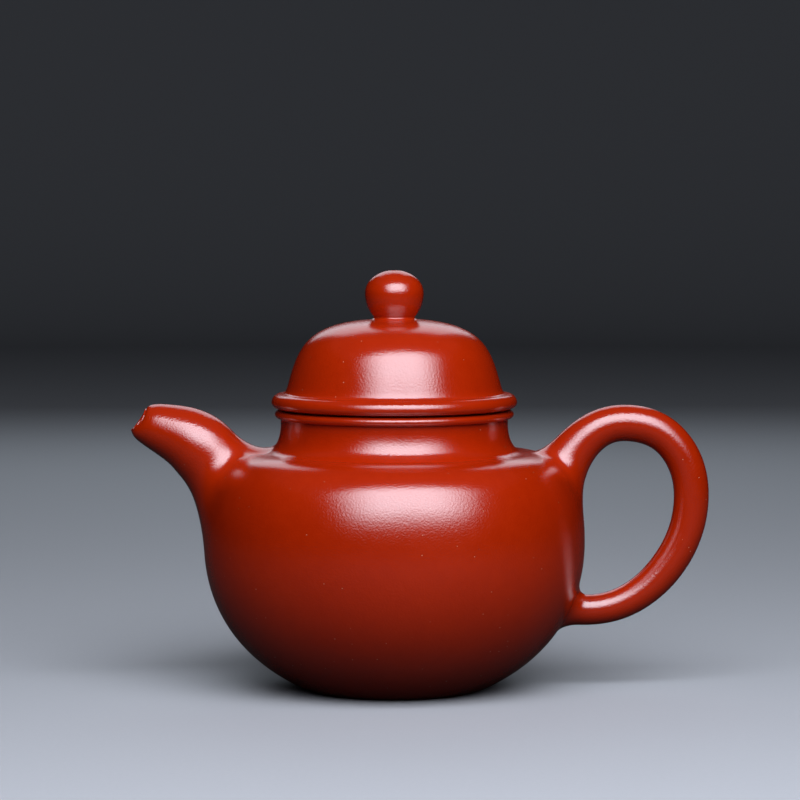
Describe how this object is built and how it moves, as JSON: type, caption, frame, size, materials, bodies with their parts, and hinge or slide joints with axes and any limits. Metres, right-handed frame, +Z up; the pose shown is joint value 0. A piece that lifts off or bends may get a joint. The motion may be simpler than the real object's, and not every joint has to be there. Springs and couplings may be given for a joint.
{
  "type": "clay teapot",
  "caption": "Round red clay teapot with a short one-bend spout, ear handle and a domed lid with a ball knob that lifts off.",
  "frame": {"origin": "centre of the flat base, on the table", "axes": "+Z up along the pot's axis, -X towards the spout's mouth, +X towards the handle"},
  "size_m": [0.1327, 0.0874, 0.096],
  "materials": {
    "red_clay": "satin unglazed",
    "inner_clay": "matt unglazed"
  },
  "bodies": {
    "pot": {"base_disc": "red_clay", "body_wall": "red_clay", "shoulder_disc": "red_clay", "neck_ring": "red_clay", "mouth_bead": "red_clay", "spout": "red_clay", "strainer_dome": "inner_clay", "handle": "red_clay"},
    "lid": {"lid_dome": "red_clay", "lid_flange": "red_clay", "lid_collar": "inner_clay", "knob": "red_clay"}
  },
  "joints": [
    {"name": "lid_lift", "type": "slide", "parent": "pot", "child": "lid", "axis": [0, 0, 1], "range_m": [0, 0.05]}
  ]
}
